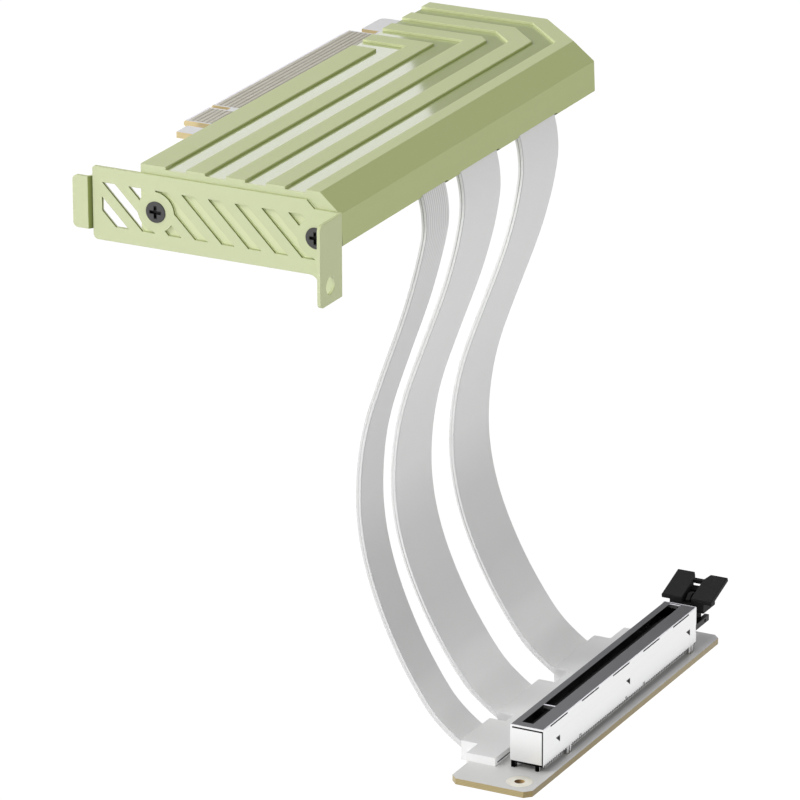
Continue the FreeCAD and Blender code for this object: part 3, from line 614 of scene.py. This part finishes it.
class Finish(Sheet):
    """A Principled material with grain and soft edges already wired to its normal."""

    def __init__(self, name, grain, depth, radius, rough):
        self.material = bpy.data.materials.new(name)
        self.material.use_nodes = True
        super().__init__(self.material.node_tree)
        self.shader = self.tree.nodes["Principled BSDF"]
        self.place = self.add("ShaderNodeTexCoord").outputs["Object"]
        self.x, self.y, self.z = self.axes(self.place)
        self.face = self.axes(self.add("ShaderNodeNewGeometry").outputs["Normal"])
        grains = self.add("ShaderNodeGroup")
        grains.node_tree = grain_group
        grains.inputs["Scale"].default_value = grain
        self.link(self.place, grains.inputs["Vector"])
        self.shade = grains.outputs["Shade"]
        edges = self.add("ShaderNodeGroup")
        edges.node_tree = edge_group
        edges.inputs["Radius"].default_value = radius
        self.edge = edges.outputs["Edge"]
        bump = self.add("ShaderNodeBump", {"Strength": 1.0, "Distance": depth})
        self.link(grains.outputs["Height"], bump.inputs["Height"])
        self.link(edges.outputs["Normal"], bump.inputs["Normal"])
        self.link(bump.outputs["Normal"], self.shader.inputs["Normal"])
        self.link(self.ramp(self.shade, 0.3, 0.7, *rough), self.shader.inputs["Roughness"])

    def fix(self, label, value):
        """A plain number on one of the shader's own sockets."""
        self.shader.inputs[label].default_value = value

    def colour(self, value):
        """The finish's colour over the surface."""
        self.link(value, self.shader.inputs["Base Color"])

    def wear(self, *names):
        """Give the finish to CAD nodes by name."""
        for name in names:
            for slot in nodes[name].material_slots:
                slot.material = self.material
        print(self.material.name, "on", *names)


# %% [markdown]
# ## Green coat
# The bracket and the cover share one soft green. It is satin, not glossy, with a coat so
# fine that it only breaks the highlights. It could be one flat colour, but the light and shade
# that each direction gets are painted into it, mixed by the face's normal: faces that look up
# or to the right are painted a little yellower, the long slanted face gets painted shade, and
# edges are a touch lighter, where a coat is thin.


# %% Green coat
def green_coat(name):
    """The green with painted light and shade by direction: lean_light is x + 0.6 z of the face, slant_shade
    is 1 where both are large.
    """
    finish = Finish(name, grain=1500.0, depth=0.000012, radius=0.00022, rough=(0.50, 0.60))
    right, up = finish.face[0], finish.face[2]
    # Painted light and shade by direction: yellower up and right, painted shade on the slanted face.
    lean_light = finish.fade(finish.math("ADD", right, finish.math("MULTIPLY", up, 0.6)), 0.0, 1.13)
    slant_shade = finish.both(finish.fade(right, 0.4, 0.6), finish.fade(up, 0.4, 0.6))
    pale = finish.mix(lean_light, (0.462, 0.500, 0.310), (0.480, 0.535, 0.236))
    deep = finish.mix(lean_light, (0.492, 0.531, 0.334), (0.510, 0.566, 0.256))
    pale = finish.mix(slant_shade, pale, (0.446, 0.494, 0.212))
    deep = finish.mix(slant_shade, deep, (0.472, 0.525, 0.229))
    tone = finish.mix(finish.shade, pale, deep)
    finish.tone = finish.mix(finish.math("MULTIPLY", finish.edge, 0.22), tone, (0.62, 0.66, 0.42))
    finish.fix("Specular IOR Level", 0.35)
    return finish


# %% [markdown]
# ## Bracket
# On the bent sheet, the coat looks darkest on the cut walls of the slanted vents and in the fold
# beside the tongue, where little light gets in. Shadows alone leave these walls too light here,
# so masks by place and direction paint shade on them. Each vent shows as one fine dark line: the
# front half of its wall gets painted shade, and the rear half gets painted light, as light as
# what lies behind it. The end of the tab gets a painted highlight, lighter than the rest.

# %% Bracket
tongue_end, plate_start, fold_end = -0.0675, -0.0667, -0.0665
vents_start, open_vents_end = -0.0660, -0.0505
tab_clear, tab_front = -0.003, -0.001
wall_middle = 0.00645

bracket = green_coat("bracket_green")
x, y, right = bracket.x, bracket.y, bracket.face[0]
# Painted highlight: the tab's end, facing +X, is painted lighter.
tab_highlight = bracket.both(bracket.above(right, squarely), bracket.above(x, tab_front))
paint = bracket.mix(tab_highlight, bracket.tone, (0.590, 0.635, 0.370))
# Painted shade in the fold beside the tongue, darkest next to the plate.
in_fold = bracket.fade(x, tongue_end, plate_start)
fold_shade = bracket.mix(in_fold, (0.250, 0.300, 0.085), (0.060, 0.080, 0.012))
# Painted shade on the vents' cut walls.
painted_wall = bracket.mix(bracket.below(x, fold_end), (0.125, 0.150, 0.008), fold_shade)
# Painted light on the rear half of each vent's wall, so it looks as light as what lies behind it.
rear_half = bracket.both(bracket.above(y, wall_middle), bracket.above(x, vents_start))
open_air = bracket.below(x, open_vents_end)
rear_light = bracket.mix(open_air, (0.800, 0.860, 0.560), (0.900, 0.930, 0.760))
painted_wall = bracket.mix(rear_half, painted_wall, rear_light)
cut_wall = bracket.both(bracket.above(right, partly), bracket.below(x, tab_clear))
bracket.colour(bracket.mix(cut_wall, paint, painted_wall))
bracket.wear("slot_bracket")

# %% [markdown]
# ## Cover
# The bars of the cover are satin, but the floors of the channels between them are polished, and
# mirror the two cards that stand behind. The floors could have a finish of their own, but a mask
# by height and direction lets the cover keep one, with a clear coat on the floors alone. The
# bars' right sides get painted shade up to a fine crest, and their front sides painted light.
# The front wall, which is seen through the vents, is painted a little lighter against its shade.

# %% Cover
front_wall, bracket_top = 0.0085, 0.0155
channel_floor, below_bars = 0.0187, 0.0198
bars_start = 0.010
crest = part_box("top_cover")[1][2] - 0.00035
upright_slope = 0.2

cover = green_coat("cover_green")
y, z = cover.y, cover.z
right, back, up = cover.face
# Painted light on the front wall seen through the vents, against its shade.
behind_vents_light = cover.both(cover.below(back, -squarely), cover.below(y, front_wall),
                          cover.below(z, bracket_top))
paint = cover.mix(behind_vents_light, cover.tone, (0.558, 0.598, 0.375))
# Painted light on the bars' front sides and painted shade on their right sides, up to the crest.
bar_side = cover.both(cover.below(cover.gap(up), upright_slope), cover.above(z, channel_floor),
                      cover.above(y, bars_start))
bar_front_light = cover.both(bar_side, cover.below(back, -mostly))
bar_right_shade = cover.both(bar_side, cover.above(right, mostly), cover.below(z, crest))
paint = cover.mix(bar_front_light, paint, (0.700, 0.740, 0.440))
paint = cover.mix(bar_right_shade, paint, (0.350, 0.420, 0.110))
channel = cover.both(cover.below(z, below_bars), cover.above(up, squarely))
cover.colour(cover.mix(channel, paint, (0.375, 0.430, 0.180)))
cover.link(channel, cover.shader.inputs["Coat Weight"])
cover.fix("Coat Roughness", 0.03)
cover.wear("top_cover", "bottom_cover")

# %% [markdown]
# ## Ribbon jacket
# A pale grey vinyl jacket. The ridges are real geometry, so the finish adds only tones, and most
# of them are painted light and shade. They could be stored as vertex colours, but ramps on the
# height and the UV map are easier to move. The flats are painted greyer in the lower half, where
# they turn from the light, and brighter again where they land on the strip. The first ribbon gets
# the cover's painted shade. The near edge is painted lighter high up and darker low down, and
# shows the line between the two layers, most of all in the bends. The flat beside it has a fine
# crease, where the jacket is pressed shut, with painted shade in it. Where the first ribbon leaves
# the cover, painted shade lies between its wires.

# %% Ribbon jacket
first_ribbon_end = 0.065
crease_start, crease_stop = 0.00004 * uv_per_metre, 0.0006 * uv_per_metre
layer_line = 0.00013

jacket = Finish("ribbon_jacket", grain=900.0, depth=0.000010, radius=0.00003, rough=(0.42, 0.52))
z = jacket.z
across = jacket.axes(jacket.add("ShaderNodeTexCoord").outputs["UV"])[0]
first_ribbon = jacket.below(jacket.y, first_ribbon_end)

vinyl = jacket.mix(jacket.shade, grey(0.78), (0.83, 0.83, 0.828))
# Painted light and shade by height: greyer lower down, brighter where the ribbons land on the strip.
for top, bottom, tone in ((-0.074, -0.090, 0.71), (-0.108, -0.119, 0.79), (-0.119, -0.127, 1.0)):
    vinyl = jacket.mix(jacket.fade(z, top, bottom), vinyl, grey(tone))
# Painted shade of the cover on the first ribbon near its exit.
in_shade = jacket.both(first_ribbon, jacket.ramp(z, -0.004, -0.022, 0.0, 0.115))
vinyl = jacket.mix(in_shade, vinyl, grey(0.0))

# Painted light and shade on the near edges: lighter high up, darker low down, lightest on the first ribbon
# at the exit.
height = jacket.fade(z, -0.078, -0.025)
edge_light = jacket.mix(height, grey(0.66), grey(0.95))
first_edge_light = jacket.mix(height, grey(0.59), grey(0.69))
first_edge_light = jacket.mix(jacket.fade(z, -0.009, -0.002), first_edge_light, grey(0.86))
edge_light = jacket.mix(first_ribbon, edge_light, first_edge_light)
through = jacket.add("ShaderNodeAttribute")
through.attribute_name = "through"
between = jacket.below(jacket.gap(through.outputs["Fac"]), layer_line)
low_bend = jacket.both(jacket.ramp(z, -0.080, -0.092, 0.0, 0.6), jacket.fade(z, -0.122, -0.108),
                       jacket.math("SUBTRACT", 1.0, first_ribbon))
high_bend = jacket.ramp(z, -0.030, -0.008, 0.0, 0.6)
line_depth = jacket.math("ADD", jacket.math("MAXIMUM", low_bend, high_bend), 0.12)
edge_light = jacket.mix(jacket.both(between, line_depth), edge_light, grey(0.25))
vinyl = jacket.mix(jacket.below(jacket.face[1], -clearly), vinyl, edge_light)

# Painted shade between the first ribbon's wires where it leaves the cover.
wires = jacket.ramp(jacket.wave(across, wire_pitch * uv_per_metre), -0.2, 0.8, 0.0, 0.42)
wires = jacket.both(wires, jacket.fade(z, -0.018, -0.003), first_ribbon)
vinyl = jacket.mix(wires, vinyl, (0.40, 0.40, 0.39))
# Painted shade in the crease beside the near edge, fainter lower down.
crease_shade = jacket.both(jacket.above(across, crease_start), jacket.below(across, crease_stop),
                     jacket.ramp(z, -0.100, -0.035, 0.05, 0.5))
jacket.colour(jacket.mix(crease_shade, vinyl, grey(0.3)))
jacket.fix("Specular IOR Level", 0.4)
for piece in ribbons:
    piece.data.materials.append(jacket.material)
print("ribbon_jacket on", *(piece.name for piece in ribbons))

# %% [markdown]
# ## Boards
# A circuit board is white resist above and below, and bare glass epoxy where it was cut. Faces
# could be given one or the other by hand, but the direction of a face already tells which is
# which. The near cut edge shows its layers as thin lines, and the right cut edge gets painted
# shade, most near the front. On the plug board the epoxy is painted lighter, as painted light, and
# the copper tracks stand faintly through the resist. The socket board's margin beside the shield is
# painted brighter against the shield's shadow, and its near hole is plated.

# %% Boards
plug_board_end = -0.05
layer_pitch, track_pitch = 0.0004, 0.001
hole_x, hole_y, hole_reach = 0.0336, 0.0350, 0.0014

board = Finish("board_resist", grain=2600.0, depth=0.000006, radius=0.0001, rough=(0.34, 0.42))
x, y = board.x, board.y
on_plug = board.below(x, plug_board_end)
tracks = board.both(board.above(board.wave(y, track_pitch), 0.35), on_plug)
resist = board.mix(board.shade, (0.61, 0.61, 0.60), (0.65, 0.65, 0.64))
resist = board.mix(board.math("MULTIPLY", tracks, 0.5), resist, (0.58, 0.58, 0.57))
# Painted light on the socket board's margin beside the shield, against the shield's shadow.
margin_light = board.both(board.fade(x, 0.0368, 0.0400), board.fade(y, 0.036, 0.046))
resist = board.mix(margin_light, resist, (0.93, 0.92, 0.93))

layers = board.fade(board.wave(board.z, layer_pitch), -1.0, 1.0)
epoxy = board.mix(layers, (0.28, 0.22, 0.105), (0.38, 0.305, 0.145))
# Painted shade on the right cut edge, darkest near the front.
long_edge_shade = board.mix(board.fade(y, 0.060, 0.120), (0.265, 0.200, 0.080), (0.350, 0.275, 0.140))
epoxy = board.mix(board.above(board.face[0], mostly), epoxy, long_edge_shade)
# Painted light: the plug board's cut edges are lighter.
epoxy = board.mix(on_plug, epoxy, (0.62, 0.50, 0.27))
in_hole = board.both(board.below(board.gap(x, hole_x), hole_reach),
                     board.below(board.gap(y, hole_y), hole_reach))
hole_wall = board.mix(board.fade(x, 0.0328, 0.0342), (0.15, 0.08, 0.025), (0.60, 0.43, 0.20))
epoxy = board.mix(in_hole, epoxy, hole_wall)
cut_edge = board.below(board.gap(board.face[2]), mostly)
board.colour(board.mix(cut_edge, resist, epoxy))
board.wear("plug_board", "socket_board")

# %% [markdown]
# ## Gold
# The edge fingers are thin pale gold, worn where they slide, so the fine streaks run along X and
# darker bands cross them where other contacts have wiped. A picture of worn metal could give
# that, but a noise stretched along one axis needs none. The fingers' tips are bare and bright.
# The rings of the holes are the same gold, painted much paler as a painted highlight.


# %% Gold
def plate(name, pale, deep, streak, rough):
    """A metal whose noise is stretched along one axis, as rolling or sliding leaves it."""
    finish = Finish(name, grain=2000.0, depth=0.000003, radius=0.00008, rough=rough)
    stretch = finish.add("ShaderNodeMapping", {"Scale": streak})
    finish.link(finish.place, stretch.inputs["Vector"])
    lines = finish.add("ShaderNodeTexNoise", {"Scale": 1.0, "Detail": 4.0})
    finish.link(stretch.outputs["Vector"], lines.inputs["Vector"])
    finish.tone = finish.mix(finish.fade(lines.outputs["Fac"], 0.35, 0.65), pale, deep)
    finish.colour(finish.tone)
    finish.fix("Metallic", 1.0)
    return finish


wipe_pitch = 0.0013
finger_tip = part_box("plug_fingers_top")[0][0] + 0.0004
even = (900, 900, 900)

fingers = plate("finger_gold", (0.49, 0.465, 0.345), (0.41, 0.385, 0.28),
                streak=(60, 3000, 900), rough=(0.34, 0.46))
wiped = fingers.fade(fingers.wave(fingers.x, wipe_pitch), 0.1, 0.7)
gold = fingers.mix(wiped, fingers.tone, (0.205, 0.19, 0.12))
fingers.colour(fingers.mix(fingers.below(fingers.x, finger_tip), gold, (0.78, 0.77, 0.76)))
fingers.wear("plug_fingers_top", "plug_fingers_bottom")

# Painted highlight: the rings are painted much paler than the fingers.
rings = plate("ring_gold", (0.94, 0.92, 0.83), (0.89, 0.86, 0.76), streak=even, rough=(0.36, 0.46))
rings.wear("hole_rings")

# %% [markdown]
# ## Tin
# The shield is bright tinned sheet, rolled along its length. A shader that stretches highlights
# could show the rolling, but at this size the same stretched noise is enough. The near end is
# painted the brightest, as painted light. The lips under the slits and the seam at the near corner
# are painted black, as painted shade, because they look into the socket. The contact tails are
# dull tin.

# %% Tin
lips_top, lip_slope = -0.1230, 0.4
seam_depth, seam_right = 0.0423, 0.0362

shield = plate("shield_tin", (0.885, 0.885, 0.888), (0.87, 0.87, 0.873),
               streak=(2500, 30, 2500), rough=(0.34, 0.42))
right, back, up = shield.face
# Painted shade: the lips under the slits and the seam are painted black.
lip_shade = shield.both(shield.above(up, lip_slope), shield.below(shield.z, lips_top))
seam_shade = shield.both(shield.above(right, mostly), shield.below(shield.y, seam_depth),
                   shield.below(shield.x, seam_right))
# Painted light on the near end, which looks to the front.
tin = shield.mix(shield.below(back, -squarely), shield.tone, grey(0.955))
shield.colour(shield.mix(shield.math("MAXIMUM", lip_shade, seam_shade), tin, grey(0.01)))
shield.wear("socket_shield")

tails = plate("tail_tin", (0.92, 0.92, 0.91), (0.84, 0.84, 0.83), streak=even, rough=(0.32, 0.45))
tails.fix("Metallic", 0.1)
tails.wear("contacts_left", "contacts_right")

# %% [markdown]
# ## Moulded strips
# The strips over the ribbons' ends are matt white, painted a little greyer at the near end and on
# the sides that look to the front, as painted shade. The right sides are painted the brightest, as
# painted light, and have a fine joint line.
# The line could be a groove, but it is so thin that a dark band painted on is enough.

# %% Moulded strips
joint_low, joint_high = -0.13372, -0.13335
joint_start = 0.0417

strip = Finish("strip_white", grain=1200.0, depth=0.000012, radius=0.0002, rough=(0.50, 0.60))
y, z = strip.y, strip.z
looks_front = strip.below(strip.face[1], -clearly)
looks_right = strip.above(strip.face[0], clearly)
skin = strip.mix(strip.shade, grey(0.80), (0.84, 0.84, 0.837))
# Painted shade towards the near end and on faces that look to the front; painted light on the right sides.
skin = strip.mix(strip.ramp(y, 0.050, 0.068, 0.12, 0.0), skin, grey(0.0))
skin = strip.mix(looks_front, skin, grey(0.70))
skin = strip.mix(looks_right, skin, grey(0.97))
joint = strip.both(strip.below(z, joint_high), strip.above(z, joint_low), looks_right,
                   strip.above(y, joint_start))
strip.colour(strip.mix(joint, skin, grey(0.04)))
strip.wear("plug_overmould", "socket_overmould")

# %% [markdown]
# ## Socket body
# The socket's body is black and a little shiny, so that its flat top goes grey where it mirrors
# the white room. Below the rim it is painted almost pure black and metallic, as painted shade, so
# it returns almost no light. Under the right side of the shield the contacts' feet show as a fine
# comb, so the body's lower edge carries light stripes at the contacts' pitch. They could be small
# bars, but a wave along Y needs no faces.

# %% Socket body
rim_low = -0.12276
comb_top, comb_left = -0.13205, 0.0345
contact_pitch = 0.001
first_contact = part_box("contacts_right")[0][1] + 0.0003

body = Finish("socket_black", grain=1800.0, depth=0.000008, radius=0.0001, rough=(0.26, 0.34))
# Painted shade: below the rim the body is near black and metallic.
inside_shade = body.below(body.z, rim_low)
dark = body.mix(inside_shade, body.mix(body.shade, grey(0.120), grey(0.133)), grey(0.003))
along = body.math("SUBTRACT", body.y, first_contact - contact_pitch / 4)
comb = body.both(body.above(body.wave(along, contact_pitch), 0.0), body.above(body.face[0], squarely),
                 body.below(body.z, comb_top), body.above(body.x, comb_left))
body.colour(body.mix(comb, dark, (0.85, 0.85, 0.84)))
body.link(body.math("SUBTRACT", inside_shade, comb), body.shader.inputs["Metallic"])
body.fix("Specular IOR Level", 0.2)
body.wear("socket_housing")

# %% [markdown]
# ## Latch and screws
# The latch has a coarser moulded skin. The screws are blackened steel, darkest inside the cross.
# The cross is cut in the solid, and its shadow could be enough, but from afar it is lost. So its
# shade is also painted, as two arms round the middle of each head, a hair wider than the cut.

# %% Latch and screws
latch = Finish("latch_black", grain=1400.0, depth=0.00003, radius=0.00015, rough=(0.56, 0.66))
latch.colour(latch.mix(latch.shade, grey(0.008), grey(0.012)))
latch.fix("Specular IOR Level", 0.17)
latch.wear("latch")

recess_front, recess_back = 0.00590, 0.00600
arm_half, arm_reach = 0.00044, 0.00165
heads_low, heads_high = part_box("bracket_screws")
head_radius = (heads_high[2] - heads_low[2]) / 2

screw = Finish("screw_black", grain=1600.0, depth=0.000008, radius=0.00012, rough=(0.42, 0.52))
# Painted shade in the cross recess and on two arms round each head's middle.
deep = screw.fade(screw.y, recess_front, recess_back)
up_down = screw.gap(screw.z, heads_low[2] + head_radius)
for centre in (heads_low[0] + head_radius, heads_high[0] - head_radius):
    aside = screw.gap(screw.x, centre)
    for thin, long in ((aside, up_down), (up_down, aside)):
        arm = screw.both(screw.below(thin, arm_half), screw.below(long, arm_reach))
        deep = screw.math("MAXIMUM", deep, arm)
screw.colour(screw.mix(deep, screw.mix(screw.shade, grey(0.045), grey(0.063)), grey(0.006)))
screw.fix("Metallic", 0.2)
screw.wear("bracket_screws", "cover_screws")
